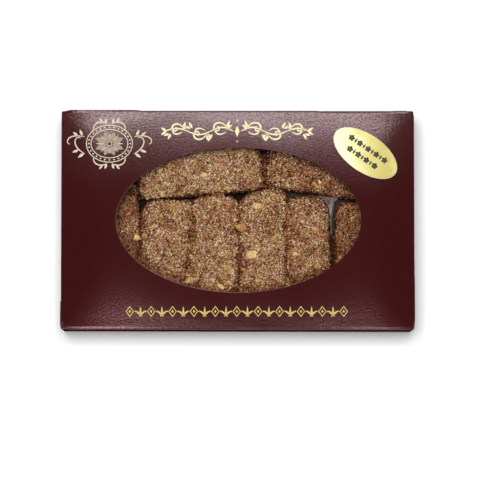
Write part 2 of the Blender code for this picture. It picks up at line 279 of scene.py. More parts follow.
CHIP_SHIFT = 0.28
CHIP_WIDTH = (0.6, 1.0)
CHIP_HEIGHT = (0.5, 0.9)
CHIP_FACES = np.array([
    (0, 2, 4), (2, 1, 4), (1, 3, 4), (3, 0, 4), (2, 0, 5), (1, 2, 5), (3, 1, 5), (0, 3, 5)])
UNDERSIDE = -0.3
SIDE_DEPTH = 0.005
LOW_SIDE_SHARE = 0.12
# Wave lengths and strengths of the pale patches
PALE_PATCHES = ((0.0055, 1.9), (0.0021, 1.0))
CRUMB_SEED = 47
COAT_GLOSS = 0.08
COAT_HUES = ((1.0, 1.03, 0.87), (1.0, 0.94, 1.05))
HUE_WAVE = 0.009
CORE_BROWNS = (
    (0.0, (0.026, 0.010, 0.0044)), (0.30, (0.105, 0.043, 0.020)),
    (0.7, (0.220, 0.101, 0.047)), (1.0, (0.36, 0.195, 0.096)))

# Painted shade: darker coat near the window's front rim, on the bars' flanks and sides, and deep
# between bars
RIM_SHADE_START = 0.86
RIM_SHADE_TONES = (-3.6, -0.1)
FLANK_SHADE_WIDTHS = (0.0022, 0.0024)
STEEP_SHADE_START = 0.62
STEEP_SHADE_TONE = -2.6
DEEP_SHADE_START = 0.0042
DEEP_SHADE_FADE = 0.0022
DEEP_SHADE_TONE = -3.0
DEEP_SHADE_HEIGHTS = (0.0105, 0.0134)
DEEP_SHADE_COAT = (0.010, 0.005, 0.0035)

# Loose crumbs caught between bars: where, the height they reach, and how pale;
# their dark tones are painted shade in the gaps and holes between bars
CAUGHT_CRUMBS = [
    ((-0.0545, -0.0465), (-0.045, 0.005), 0.0122, -1.2),
    ((-0.0290, -0.0215), (-0.045, 0.004), 0.0158, -0.8),
    ((-0.0300, -0.0180), (0.004, 0.0116), 0.0142, -0.6),
    ((-0.0565, -0.0440), (0.0125, 0.020), 0.0032, -1.1),
    ((-0.0128, -0.0068), (0.0095, 0.0150), 0.0150, 0.2),
    ((-0.0460, -0.0415), (0.0070, 0.0110), 0.0120, -1.3),
    ((-0.0035, 0.0045), (-0.045, 0.004), 0.0150, -1.0),
    ((-0.0035, 0.0060), (0.004, 0.0112), 0.0138, -0.8),
    ((0.0210, 0.0290), (-0.045, 0.004), 0.0150, -0.5),
    ((0.0210, 0.0290), (0.004, 0.0090), 0.0130, -1.2),
    ((0.0455, 0.0515), (-0.045, -0.0065), 0.0060, -3.0),
    ((0.0100, 0.0185), (0.0285, 0.036), 0.0078, -1.7),
    ((0.0100, 0.0185), (0.0180, 0.0285), 0.0120, -1.3),
    ((0.0100, 0.0185), (0.0090, 0.0180), 0.0055, -2.6),
]
CAUGHT_STEP = 0.0004
CAUGHT_WAVE = 0.0030
CAUGHT_RELIEF = 0.0028
# Crumbs over a deep slit get a further painted shade
SLIT_DEPTH = 0.0050
SLIT_SHADE_TONE = -1.7

# Studio
AIM = (0.00123, -0.0101, 0.0286)
CAMERA_TILT = 4.0
CAMERA_DISTANCE = 1.55
CAMERA_LENS = 230.99
CAMERA_SENSOR = 36.0
CAMERA_FAR = 100.0
KEY_PLACE = (-0.082, 0.163, 2.0)
KEY_SIZE = (0.80, 0.746)
KEY_POWER = 47.0
FLOOR_REACH = 6.0
FLOOR_HEIGHT = -0.0001
WORLD_FILL = 0.32

# Cards of light that the glossy lid mirrors: brightness by direction
BACK_CARD = (
    (0.100, 0.15), (0.1056, 0.3), (0.120, 1.45), (0.1244, 1.8), (0.1286, 2.35), (0.1329, 3.0),
    (0.1374, 4.5), (0.1412, 6.1), (0.1426, 8.2), (0.1438, 11.2), (0.1455, 11.8), (0.1484, 11.4),
    (0.1512, 10.4), (0.1530, 9.8), (0.170, 12.0), (0.24, 4.0), (0.90, 1.5))
BACK_CARD_SLANT = 0.108
BACK_CARD_ANCHOR = 0.028
BACK_CARD_LEFT = (-0.0705, -0.0555)
BACK_CARD_RIGHT = (0.0545, 0.0665)
BACK_CARD_CORNER = (0.155, 0.200)
BACK_CARD_CORNER_SHIFT = -0.03
FRONT_CARD = (
    (-0.75, 0.5), (-0.3, 4.0), (-0.002, 4.6), (-0.0003, 3.4), (0.0019, 2.2), (0.0056, 1.05),
    (0.0114, 0.48), (0.0185, 0.24), (0.026, 0.1), (0.05, 0.0))
FRONT_CARD_ALONG = (
    (-0.058, 0.3), (-0.053, 2.2), (-0.0477, 3.9), (-0.0412, 2.9), (-0.0282, 0.76),
    (-0.0119, 0.25), (0.0043, 0.45), (0.0205, 0.25), (0.0285, 0.35), (0.0340, 1.15),
    (0.0465, 1.8), (0.0535, 0.6), (0.058, 0.2))
LEFT_SPOT = (
    (-0.0640, 0.0), (-0.0590, 4.4), (-0.0545, 8.6), (-0.0497, 9.4), (-0.0425, 3.4), (-0.035, 0.0))
LEFT_SPOT_PIVOT = 0.05
LEFT_SPOT_EDGE = (0.131, 0.139)
# Softer light: where it starts and ends, and its strength there
GLOW_SIDES = (0.050, 0.062, 0.0, 0.5)
GLOW_BACK = (0.085, 0.12, 0.1, 1.0)
ROOM_GLOW = (0.0, 0.8, 0.5, 0.03)
TINT_RANGE = (0.06, 0.15)
TINTS = ((0.0, (1.0, 0.70, 0.72)), (0.55, (1.0, 0.78, 0.80)), (1.0, (1.0, 1.0, 1.0)))


def add_object(name, data):
    """Put a mesh, a lamp or the camera into the scene."""
    made = bpy.data.objects.new(name, data)
    bpy.context.scene.collection.objects.link(made)
    return made


def add_mesh(name, points, faces, materials, slots=None):
    """A smooth piece of points and faces, with a finish slot for each face."""
    mesh = bpy.data.meshes.new(name)
    mesh.from_pydata([tuple(point) for point in points], [], faces)
    for finish in materials:
        mesh.materials.append(finish)
    if slots is not None:
        mesh.polygons.foreach_set("material_index", slots)
    mesh.polygons.foreach_set("use_smooth", [True] * len(mesh.polygons))
    mesh.update()
    return add_object(name, mesh)


def settle(piece, slot, *nodes):
    """Tie a piece to the frame and hide the imported solids it stands for; the slot is not used."""
    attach(piece, "root")
    if nodes:
        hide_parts(*nodes)
    return piece


class Nodes:
    """A node tree under construction, with short calls for its nodes."""

    def __init__(self, tree):
        self.tree = tree

    def feed(self, socket, value):
        """Link an output to a socket, or set its value; colours have no alpha."""
        if isinstance(value, bpy.types.NodeSocket):
            self.tree.links.new(value, socket)
        elif socket.type == "RGBA":
            socket.default_value = (*value, 1.0)
        else:
            socket.default_value = value

    def fill(self, node, sockets):
        for name, value in sockets.items():
            self.feed(node.inputs[name.replace("_", " ")], value)
        return node

    def node(self, kind, settings=None, **sockets):
        made = self.tree.nodes.new(kind)
        for name, value in (settings or {}).items():
            setattr(made, name, value)
        return self.fill(made, sockets)

    def combine(self, operation, first, second):
        made = self.node("ShaderNodeMath", {"operation": operation})
        self.feed(made.inputs[0], first)
        self.feed(made.inputs[1], second)
        return made.outputs[0]

    def plus(self, first, second):
        return self.combine("ADD", first, second)

    def times(self, first, second):
        return self.combine("MULTIPLY", first, second)

    def axes(self, place):
        """The three coordinates of a place."""
        return self.node("ShaderNodeSeparateXYZ", Vector=place).outputs

    def spread(self, value, low, high, start=0.0, end=1.0, kind="LINEAR"):
        """Carry a value from one range to another."""
        return self.node(
            "ShaderNodeMapRange", {"interpolation_type": kind}, Value=value,
            From_Min=start, From_Max=end, To_Min=low, To_Max=high).outputs[0]

    def ramp(self, factor, *stops):
        """Colours by a factor, each stop with its place and its colour."""
        made = self.node("ShaderNodeValToRGB", Fac=factor)
        elements = made.color_ramp.elements
        for element, (position, colour) in zip(elements, (stops[0], stops[-1])):
            element.position = position
            element.color = (*colour, 1.0)
        for position, colour in stops[1:-1]:
            elements.new(position).color = (*colour, 1.0)
        return made.outputs["Color"]

    def mix(self, factor, first, second):
        made = self.node("ShaderNodeMix", {"data_type": "RGBA"})
        for number, value in ((0, factor), (6, first), (7, second)):
            self.feed(made.inputs[number], value)
        return made.outputs[2]


class Shade(Nodes):
    """A material under construction."""

    def __init__(self, name, roughness, metallic=0.0, gloss=0.5):
        self.material = bpy.data.materials.new(name)
        self.material.use_nodes = True
        super().__init__(self.material.node_tree)
        self.shader = self.tree.nodes["Principled BSDF"]
        self.finish(Roughness=roughness, Metallic=metallic, Specular_IOR_Level=gloss)
        self.place = self.node("ShaderNodeTexCoord").outputs["Object"]

    def finish(self, **sockets):
        """Feed the shader's sockets by name."""
        self.fill(self.shader, sockets)

    def noise(self, size, detail=2.0, stretch=(1.0, 1.0, 1.0)):
        """Soft noise whose features are about this size across."""
        scaled = self.node(
            "ShaderNodeMapping", Vector=self.place, Scale=[part / size for part in stretch])
        return self.node(
            "ShaderNodeTexNoise", Vector=scaled.outputs[0], Scale=1.0, Detail=detail).outputs[0]

    def cells(self, size):
        """Cells of about this size, each with its own value."""
        made = self.node("ShaderNodeTexVoronoi", Vector=self.place, Scale=1.0 / size)
        return self.node("ShaderNodeSeparateColor", Color=made.outputs["Color"]).outputs[0]

    def bump(self, *layers):
        """Relief of one or more heights, each with its depth in metres."""
        below = {}
        for height, depth in layers:
            made = self.node(
                "ShaderNodeBump", Height=height, Distance=depth, Strength=1.0, **below)
            below = {"Normal": made.outputs[0]}
        self.finish(**below)


def shades(colour, *factors):
    """The same colour made darker or paler by each factor."""
    return [tuple(part * factor for part in colour) for factor in factors]


def mottled_shade(name, roughness, colours, mottle, grain, metallic=0.0):
    """A finish that wavers between two colours.

    The mottle is a noise's size and detail. A grain adds its depth to these.
    """
    shade = Shade(name, roughness, metallic)
    shade.finish(Base_Color=shade.mix(shade.noise(*mottle), *colours))
    if grain:
        *size, depth = grain
        shade.bump((shade.noise(*size), depth))
    return shade.material


def laminate_shade(name, colour, gloss, roughness):
    """Maroon laminated board with a fine linen grain."""
    shade = Shade(name, roughness, gloss=gloss)
    dull, bright = shades(SHEEN_TINT, 0.55, 1.0)
    linen = shade.noise(0.0009, 2.0, (0.8, 1.0, 1.0))
    shade.finish(
        Base_Color=shade.mix(shade.noise(0.012), *shades(colour, 0.93, 1.07)),
        Roughness=shade.spread(shade.noise(0.006, 3.0), roughness * 0.8, roughness * 1.2),
        Specular_Tint=shade.ramp(linen, (0.40, dull), (0.54, bright)))
    shade.bump(
        (shade.noise(0.0008, 3.0, (0.6, 1.0, 1.0)), LINEN_DEPTH),
        (shade.noise(0.0012), LINEN_DEPTH))
    return shade.material


def film_shade():
    """Clear film: nearly all light passes, and its gloss follows the angle."""
    shade = Shade("clear_film", 0.05)
    shade.tree.nodes.remove(shade.shader)
    waves = shade.node(
        "ShaderNodeBump", Height=shade.noise(0.009), Distance=0.00004, Strength=1.0).outputs[0]
    clear = shade.node("ShaderNodeBsdfTransparent", Color=(0.97, 0.97, 0.97))
    gloss = shade.node(
        "ShaderNodeBsdfAnisotropic", Color=(1.0, 1.0, 1.0), Roughness=0.08, Normal=waves)
    edge = shade.node("ShaderNodeFresnel", IOR=1.13, Normal=waves)
    both = shade.node("ShaderNodeMixShader", Fac=edge.outputs[0])
    shade.feed(both.inputs[1], clear.outputs[0])
    shade.feed(both.inputs[2], gloss.outputs[0])
    shade.feed(shade.tree.nodes["Material Output"].inputs["Surface"], both.outputs[0])
    return shade.material


def label_shade():
    """Gold foil paper with a painted sheen: paler at its left end and deeper gold further right,
    with soft ripples.
    """
    shade = Shade("gold_label_foil", 0.30, 0.35)
    turned = shade.node(
        "ShaderNodeMapping", {"vector_type": "TEXTURE"}, Vector=shade.place,
        Location=(*LABEL_CENTRE, 0.0), Rotation=(0.0, 0.0, math.radians(LABEL_GLOW_TURN)),
        Scale=(LABEL_HALF_LENGTH, LABEL_HALF_LENGTH, 1.0))
    uneven = shade.spread(shade.noise(0.009), -0.5, 0.5)
    along = shade.plus(shade.axes(turned.outputs[0])[0], uneven)
    shade.finish(Base_Color=shade.ramp(shade.spread(along, 0.0, 1.0, -1.0, 1.0), *LABEL_PAINTED_SHEEN_GOLDS))
    shade.bump((shade.noise(0.006), 0.00006), (shade.noise(0.0012), 0.000006))
    return shade.material


def paper_shade(name, roughness, gloss, axis, change, first, second, *grains):
    """Creased liner paper that changes from one pair of colours to another.

    The change runs between two places on an axis, and grains are finer noises.
    """
    shade = Shade(name, roughness, gloss=gloss)
    crease = shade.noise(0.003, 3.0)
    share = shade.spread(shade.axes(shade.place)[axis], 0.0, 1.0, *change)
    shade.finish(Base_Color=shade.mix(
        share, shade.mix(crease, *first), shade.mix(crease, *second)))
    shade.bump(
        (shade.noise(0.0022, 3.0), 0.00012),
        *((shade.noise(size), depth) for size, depth in grains))
    return shade.material


def core_shade():
    """Finely ground coat between the crumbs, mottled brown, with painted shade that turns it dark
    low down between the bars.
    """
    shade = Shade("ground_nut_coat", 0.75, gloss=COAT_GLOSS)
    height = shade.spread(shade.axes(shade.place)[2], 0.0, 1.0, *DEEP_SHADE_HEIGHTS)
    coat = shade.ramp(shade.cells(0.0006), *CORE_BROWNS)
    shade.finish(
        Base_Color=shade.mix(height, DEEP_SHADE_COAT, coat),
        Roughness=shade.spread(shade.noise(0.002), 0.62, 0.85))
    shade.bump((shade.noise(0.0006, 3.0), 0.0002))
    return shade.material


def crumb_shade(name, colour):
    """One kind of crumb, a little different from bit to bit."""
    shade = Shade(name, 0.62, gloss=COAT_GLOSS)
    grain = shade.noise(0.0010)
    hues = []
    for hue in COAT_HUES:
        tones = shades([part * tint for part, tint in zip(colour, hue)], 0.66, 1.0, 1.25)
        hues.append(shade.ramp(grain, *zip((0.30, 0.50, 0.70), tones)))
    patch = shade.spread(shade.noise(HUE_WAVE, 1.0), 0.0, 1.0, 0.36, 0.64)
    shade.finish(
        Base_Color=shade.mix(patch, *hues),
        Roughness=shade.spread(shade.noise(0.0009), 0.50, 0.72))
    shade.bump((shade.noise(0.0003), 0.00005))
    return shade.material


def nut_shade(name, colour):
    """A larger chopped nut piece with a faint grain."""
    shade = Shade(name, 0.5)
    grain = shade.noise(0.0009, 3.0, (1.0, 0.5, 1.0))
    tones = shades(colour, 0.62, 1.0, 1.18)
    shade.finish(Base_Color=shade.ramp(grain, *zip((0.36, 0.50, 0.62), tones)))
    shade.bump((grain, 0.00025), (shade.noise(0.0003), 0.00006))
    return shade.material


def ripple(place, wave_length):
    """Soft noise from about -1 to 1 at a place."""
    return noise.noise(Vector(place) / wave_length)


def lid_height(x, y):
    """Height of the lid's surface: crowned a little, with faint waves."""
    inside_x = 1 - min(abs(x) / HALF_LENGTH, 1.0) ** LID_FLATNESS
    inside_y = 1 - min(abs(y) / HALF_WIDTH, 1.0) ** 2
    wave = ripple((x, y, 0.0), LID_WAVE_LENGTH) * LID_WAVE
    wave *= min(1.0, LID_WAVE_FADE * inside_x) * min(1.0, LID_WAVE_FADE * inside_y)
    return CARTON_HEIGHT + LID_CROWN * inside_x * inside_y + wave


def rounded_corner(x, y):
    """Pull a point in where it lies past the carton's rounded corner."""
    past_x = abs(x) - (HALF_LENGTH - CORNER_RADIUS)
    past_y = abs(y) - (HALF_WIDTH - CORNER_RADIUS)
    if past_x <= 0 or past_y <= 0:
        return x, y
    shrink = min(1.0, CORNER_RADIUS / math.hypot(past_x, past_y))
    return (
        math.copysign(HALF_LENGTH - CORNER_RADIUS + past_x * shrink, x),
        math.copysign(HALF_WIDTH - CORNER_RADIUS + past_y * shrink, y))


def lid_rim_point(angle):
    """Where a column of the lid reaches the panel's outer edge."""
    reach = 1 / max(abs(math.cos(angle)), abs(math.sin(angle)))
    x = math.cos(angle) * reach * HALF_LENGTH
    x *= 1 + RIGHT_MORE / HALF_LENGTH if x > 0 else 1
    front = HALF_WIDTH - LID_FOLD + FRONT_SKEW * x / HALF_LENGTH
    back = HALF_WIDTH - LID_FOLD + np.interp(x, *zip(*BACK_FOLD))
    return x, math.sin(angle) * reach * (back if math.sin(angle) > 0 else front)


def window_edge(angle, margin=0.0):
    """A point on the window's cut edge, or that far outside it."""
    return (
        WINDOW_CENTRE[0] + math.cos(angle) * (WINDOW_HALF_LENGTH + margin),
        WINDOW_CENTRE[1] + math.sin(angle) * (WINDOW_HALF_WIDTH + margin))


def lid_column(angle):
    """One column of the lid, from the window's cut edge to the panel's edge."""
    more = max(0.0, -math.cos(angle - math.radians(CUT_NARROW_SIDE)))
    cut = CUT_WIDTH + CUT_WIDTH_MORE * more
    inner, cut_top, start = (window_edge(angle, margin) for margin in (0.0, cut, cut + CUT_SUPPORT))
    end = lid_rim_point(angle)
    points = [(*inner, lid_height(*inner) - CUT_DROP), (*cut_top, lid_height(*cut_top))]
    for row in range(LID_ROWS + 1):
        share = row / LID_ROWS
        place = rounded_corner(*(near + (far - near) * share for near, far in zip(start, end)))
        points.append((*place, lid_height(*place)))
    return points


def fold_column(x, y, angle):
    """The rest of a column where the lid folds down at its back or front."""
    away = math.copysign(1.0, math.sin(angle))
    points = []
    for step in range(1, FOLD_STEPS + 1):
        bend = math.radians(90) * step / FOLD_STEPS
        place = rounded_corner(x, y + away * LID_FOLD * math.sin(bend))
        points.append((*place, CARTON_HEIGHT - LID_FOLD * (1 - math.cos(bend))))
    if away < 0:
        foot_x, foot_y, _ = points[-1]
        points.append((foot_x * TUCK_TAPER, foot_y + TUCK_LEAN, CARTON_HEIGHT - TUCK_DEPTH))
    return points


def lid_mesh(materials):
    """The lid: a panel with an oval hole, its hinge fold and its tucked flap."""
    points, faces, slots, columns = [], [], [], []
    for number in range(LID_COLUMNS):
        angle = math.tau * number / LID_COLUMNS
        column = lid_column(angle)
        if abs(math.sin(angle)) >= math.sin(math.radians(45)) - TINY:
            column += fold_column(*lid_rim_point(angle), angle)
        columns.append(range(len(points), len(points) + len(column)))
        points.extend(column)
    for left, right in zip(columns, columns[1:] + columns[:1]):
        for row in range(min(len(left), len(right)) - 1):
            faces.append((left[row], left[row + 1], right[row + 1], right[row]))
            slots.append(1 if row == 0 else 0)
    return add_mesh("carton_lid", points, faces, materials, slots)


def thicken(piece, thickness, rim_slot=None, inner_slot=None):
    """Give a skin its thickness, away from the side that shows."""
    solid = piece.modifiers.new("Thickness", "SOLIDIFY")
    solid.thickness = thickness
    solid.offset = -1.0
    solid.use_even_offset = True
    if rim_slot is not None:
        solid.material_offset_rim = rim_slot
        solid.material_offset = inner_slot
    return piece


def perimeter():
    """Points round the tray: place, outward direction, bow and the wall's drop."""
    loop = []
    for outward, reach, half_run, drop, corner_drop in (
            ((1, 0), HALF_LENGTH, HALF_WIDTH, END_DROP, END_DROP),
            ((0, 1), HALF_WIDTH, HALF_LENGTH, LID_FOLD, END_DROP),
            ((-1, 0), HALF_LENGTH, HALF_WIDTH, END_DROP, FRONT_DROP),
            ((0, -1), HALF_WIDTH, HALF_LENGTH, FRONT_DROP, FRONT_DROP)):
        outward = np.array(outward)
        along = np.array((-outward[1], outward[0]))
        for step in range(WALL_STEPS + 1):
            run = (2 * step / WALL_STEPS - 1) * (half_run - FOLD_RADIUS)
            place = outward * reach + along * run
            if outward[1] < 0:
                place[1] -= FRONT_SKEW * run / half_run
            loop.append((place, outward, WALL_BOW * (1 - (run / half_run) ** 2), drop))
        centre = outward * (reach - FOLD_RADIUS) + along * (half_run - FOLD_RADIUS)
        for step in range(1, CORNER_STEPS):
            bend = math.radians(90) * step / CORNER_STEPS
            direction = outward * math.cos(bend) + along * math.sin(bend)
            loop.append((centre + direction * FOLD_RADIUS, direction, 0.0, corner_drop))
    return loop


def tray_mesh(materials):
    """Bottom panel and four walls as one open skin, folded at the bottom."""
    points, faces, rings = [], [], []
    loop = perimeter()
    for step in range(FOLD_STEPS + WALL_ROWS + 1):
        bend = math.radians(90) * min(step, FOLD_STEPS) / FOLD_STEPS
        low = FOLD_RADIUS * (1 - math.cos(bend))
        share = max(0, step - FOLD_STEPS) / WALL_ROWS
        rings.append(range(len(points), len(points) + len(loop)))
        for place, outward, bow, drop in loop:
            out = bow * math.sin(math.pi * share) - FOLD_RADIUS * (1 - math.sin(bend))
            top = CARTON_HEIGHT - drop
            points.append((*(place + outward * out), low + (top - low) * share))
    for lower, upper in zip(rings, rings[1:]):
        for number, here in enumerate(lower):
            after = (number + 1) % len(lower)
            faces.append((here, lower[after], upper[after], upper[number]))
    faces.append(tuple(reversed(rings[0])))
    piece = add_mesh("carton_tray", points, faces, materials)
    piece.data.polygons[len(faces) - 1].use_smooth = False
    return piece


def sheet_mesh(name, counts, place, materials, turned=False):
    """A sheet of quads with a point for each share along and across it.

    Where there is no point the sheet is left open. Its faces can be turned.
    """
    columns, rows = counts
    index, points, faces = {}, [], []
    for column in range(columns + 1):
        for row in range(rows + 1):
            point = place(column / columns, row / rows)
            if point is not None:
                index[column, row] = len(points)
                points.append(point)
    for column in range(columns):
        for row in range(rows):
            corners = (column, row), (column + 1, row), (column + 1, row + 1), (column, row + 1)
            if all(corner in index for corner in corners):
                face = [index[corner] for corner in corners]
                faces.append(face[::-1] if turned else face)
    return add_mesh(name, points, faces, materials)


def flap_mesh(side, materials):
    """A glued corner flap on the outside of an end wall, tapered at its end."""
    away = -1 if side == "left" else 1

    def place(along, up):
        y = FOLD_RADIUS - HALF_WIDTH + FLAP_LENGTHS[side] * along
        low = FLAP_EDGE + FLAP_TAPER * along ** 2
        z = low + (CARTON_HEIGHT - 2 * low) * up
        bow = WALL_BOW * (1 - (y / HALF_WIDTH) ** 2) * math.sin(math.pi * z / CARTON_HEIGHT)
        lift = (FLAP + FLAP_SPRING) * min(1.0, FLAP_RISE * along + FLAP_START)
        return away * (HALF_LENGTH + lift + bow), y, z

    return sheet_mesh("corner_flap_" + side, FLAP_CELLS, place, materials, away < 0)


def grid_mesh(name, low, high, cell, height, finish):
    """A sheet over a rectangle with a height for each place, or None for a gap."""

    def place(*shares):
        x, y = (start + (end - start) * share for start, end, share in zip(low, high, shares))
        z = height(x, y)
        return None if z is None else (x, y, z)

    counts = [round((end - start) / cell) for start, end in zip(low, high)]
    return sheet_mesh(name, counts, place, [finish])


def film_height(x, y):
    wave = ripple((x, y, 0.02), FILM_WAVE_LENGTH)
    return lid_height(x, y) - FILM_DROP + (wave - 0.5) * FILM_WAVE


def liner_height(x, y):
    return LINER_BOTTOM + LINER_CRUMPLE * (1 + ripple((x, y, 0.0), LINER_WAVE_LENGTH))


def distance_inside(x, y):
    """How far a place lies inside the raised liner's outline, else below 0."""
    nearest = math.inf
    inside = False
    for (ax, ay, _), (bx, by, _) in zip(RAISED_LINER, RAISED_LINER[1:] + RAISED_LINER[:1]):
        run = Vector((bx - ax, by - ay))
        share = max(0.0, min(1.0, (Vector((x - ax, y - ay)).dot(run)) / run.length_squared))
        nearest = min(nearest, math.hypot(x - ax - run.x * share, y - ay - run.y * share))
        if (ay > y) != (by > y) and x < (bx - ax) * (y - ay) / (by - ay) + ax:
            inside = not inside
    return nearest if inside else -nearest


def raised_height(x, y):
    """The raised place: a soft-edged ridge of paper, creased on top."""
    depth = distance_inside(x, y)
    if depth <= -RAISED_MARGIN:
        return None
    share = min(1.0, max(0.0, depth / RAISED_EDGE))
    smooth = share * share * (3 - 2 * share)
    weights = [
        1 / (math.hypot(x - px, y - py) + RAISED_BLEND) ** 3 for px, py, _ in RAISED_LINER]
    top = sum(w * corner[2] for w, corner in zip(weights, RAISED_LINER)) / sum(weights)
    crease = ripple((x, y, 0.1), CREASE_WAVE_LENGTH) * CREASE
    sag = RAISED_SAG * min(1.0, max(0.0, depth) / RAISED_SAG_REACH)
    return liner_height(x, y) + RAISED_LIFT + (top + crease - sag) * smooth


def on_lid(point, centre, turn, lift, scale=1.0):
    """A flat point turned by a matrix, moved to a centre and laid on the lid."""
    flat = turn @ Vector(point) * scale
    x, y = flat.x + centre[0], flat.y + centre[1]
    return x, y, lid_height(x, y) + lift


def oval(centre, radii, sides):
    """Points round an oval; with four sides it is a lozenge."""
    angles = [math.tau * number / sides for number in range(sides)]
    return [
        (centre[0] + radii[0] * math.cos(angle), centre[1] + radii[1] * math.sin(angle))
        for angle in angles]


def label_mesh(materials):
    """Oval foil paper on the lid, its outer ring showing the paper's edge."""
    turn = Matrix.Rotation(math.radians(LABEL_TURN), 2)
    sides = LABEL_SIDES
    points, faces, slots = [], [], []
    for ring in LABEL_RINGS:
        radii = (LABEL_HALF_LENGTH * ring, LABEL_HALF_WIDTH * ring)
        lift = LABEL_LIFT - (LABEL_RIM_DROP if ring == 1.0 else 0.0)
        points.extend(
            on_lid(point, LABEL_CENTRE, turn, lift) for point in oval((0, 0), radii, sides))
    centre = len(points)
    points.append(on_lid((0, 0), LABEL_CENTRE, turn, LABEL_LIFT))
    for number in range(sides):
        after = (number + 1) % sides
        faces.append((centre, number, after))
        slots.append(0)
        for ring in range(len(LABEL_RINGS) - 1):
            inner, outer = ring * sides, (ring + 1) * sides
            faces.append((inner + number, outer + number, outer + after, inner + after))
            slots.append(1 if LABEL_RINGS[ring] >= LABEL_RIM else 0)
    return add_mesh("label_sheet", points, faces, materials, slots)


class Inlay:
    """Flat ornament of small shapes in millimetres, later laid on the lid."""

    def __init__(self):
        self.points = []
        self.faces = []

    def strip(self, left, right):
        """Faces between two lines of points."""
        first = len(self.points)
        count = len(left)
        self.points.extend([*left, *right])
        for step in range(first, first + count - 1):
            self.faces.append((step, step + count, step + count + 1, step + 1))

    def ribbon(self, line, widths):
        """A line with its own width at each point."""
        left, right = [], []
        for number, ((x, y), width) in enumerate(zip(line, widths)):
            before = line[max(number - 1, 0)]
            after = line[min(number + 1, len(line) - 1)]
            run = Vector((after[0] - before[0], after[1] - before[1])).normalized()
            half = width / 2
            left.append((x - run.y * half, y + run.x * half))
            right.append((x + run.y * half, y - run.x * half))
        self.strip(left, right)

    def pen(self, start, heading, length, bends, widths, curl=0.0):
        """A pen stroke whose bend swings evenly from one value to another.

        The curl is added towards its end. The widths are those at the start,
        the middle and the end.
        """
        steps = max(10, round(length * PEN_STEPS_PER_MM))
        x, y = start
        angle = math.radians(heading)
        first, middle, last = widths
        line, thickness = [start], [first]
        for step in range(1, steps + 1):
            share = step / steps
            bend = bends[0] + (bends[1] - bends[0]) * share + curl * share ** 4
            angle += bend * length / steps
            x += math.cos(angle) * length / steps
            y += math.sin(angle) * length / steps
            line.append((x, y))
            swell = (middle - (first + last) / 2) * math.sin(math.pi * share)
            thickness.append(first * (1 - share) + last * share + swell)
        self.ribbon(line, thickness)

    def disc(self, centre, radii, sides=14):
        """A filled oval, or a lozenge if it has four sides."""
        first = len(self.points)
        self.points.extend(oval(centre, radii, sides))
        self.faces.append(tuple(range(first, first + sides)))

    def ring(self, centre, radii, width, sides=72):
        line = oval(centre, radii, sides)
        self.ribbon([*line, line[0]], [width] * (sides + 1))

    def leaf(self, base, heading, length, width, point=0.8):
        """A pointed leaf, widest just past its middle."""
        run = Vector((math.cos(math.radians(heading)), math.sin(math.radians(heading))))
        side = Vector((-run.y, run.x))
        left, right = [], []
        for step in range(LEAF_STEPS + 1):
            share = step / LEAF_STEPS
            half = width / 2 * math.sin(math.pi * share ** point)
            along = Vector(base) + run * length * share
            left.append(tuple(along + side * half))
            right.append(tuple(along - side * half))
        self.strip(left, right)

    def frame(self, centre, radii, width):
        """An open lozenge."""
        shrink = 1 - width / min(radii)
        outer = oval(centre, radii, 4)
        inner = oval(centre, [radius * shrink for radius in radii], 4)
        self.strip(outer + outer[:1], inner + inner[:1])

    def mirrored(self):
        """Add the same shapes mirrored left to right."""
        first = len(self.points)
        self.points.extend([(-x, y) for x, y in self.points])
        self.faces.extend([
            tuple(first + number for number in reversed(face)) for face in self.faces])
        return self

    def lay(self, name, centre, turn, lift, finish):
        """Lay the ornament on the lid round a centre, with its faces up."""
        rotate = Matrix.Rotation(math.radians(turn), 2)
        laid = [on_lid(point, centre, rotate, lift, MM) for point in self.points]
        piece = add_mesh(name, laid, self.faces, [finish])
        work = bmesh.new()
        work.from_mesh(piece.data)
        for face in work.faces:
            if face.normal.z < 0:
                face.normal_flip()
        work.to_mesh(piece.data)
        work.free()
        return piece


def medallion():
    """Oval beaded double ring round a rosette: its lines and its petals."""
    lines, fills = Inlay(), Inlay()
    lines.ring((0, 0), (11.6, 9.4), 0.42)
    lines.ring((0, 0), (9.3, 7.2), 0.42)
    for bead in oval((0, 0), (10.45, 8.3), 28):
        lines.disc(bead, (0.42, 0.42), 10)
    for number in range(8):
        heading = 22.5 + 45 * number
        angle = math.radians(heading)
        base = (1.6 * math.cos(angle), 1.4 * math.sin(angle))
        fills.leaf(base, heading, 4.9 + 1.4 * math.cos(angle) ** 2, 3.2, 0.72)
        between = math.radians(heading + 22.5)
        start = (2.5 * math.cos(between), 2.1 * math.sin(between))
        lines.leaf(start, heading + 22.5, 3.3 + 1.2 * math.cos(between) ** 2, 0.7)
    lines.ring((0, 0), (1.2, 1.2), 0.4, 24)
    return lines, fills


def sprigs():
    """The sprigs round the medallion, drawn on its right and mirrored."""
    art = Inlay()
    art.pen((12.4, -5.2), 28, 12.5, (0.05, 0.18), (0.3, 0.6, 0.35), 0.7)
    art.pen((12.6, 3.6), 8, 12.0, (0.0, -0.18), (0.3, 0.6, 0.35), -0.8)
    for base, heading, length, width in (
            ((13.0, -5.0), -36, 3.6, 1.4), ((15.6, -3.2), -22, 3.4, 1.3),
            ((13.6, 4.1), 64, 3.4, 1.3), ((16.0, 4.0), 38, 3.2, 1.2)):
        art.leaf(base, heading, length, width)
    for way in (1, -1):
        art.pen((1.2, way * 10.2), way * 24, 9.5, (way * -0.05, way * -0.42), (0.4, 0.65, 0.35))
        art.leaf((1.4, way * 10.4), way * 70, 2.6, 1.2)
        art.leaf((3.6, way * 11.2), way * 48, 2.4, 1.1)
    return art.mirrored()


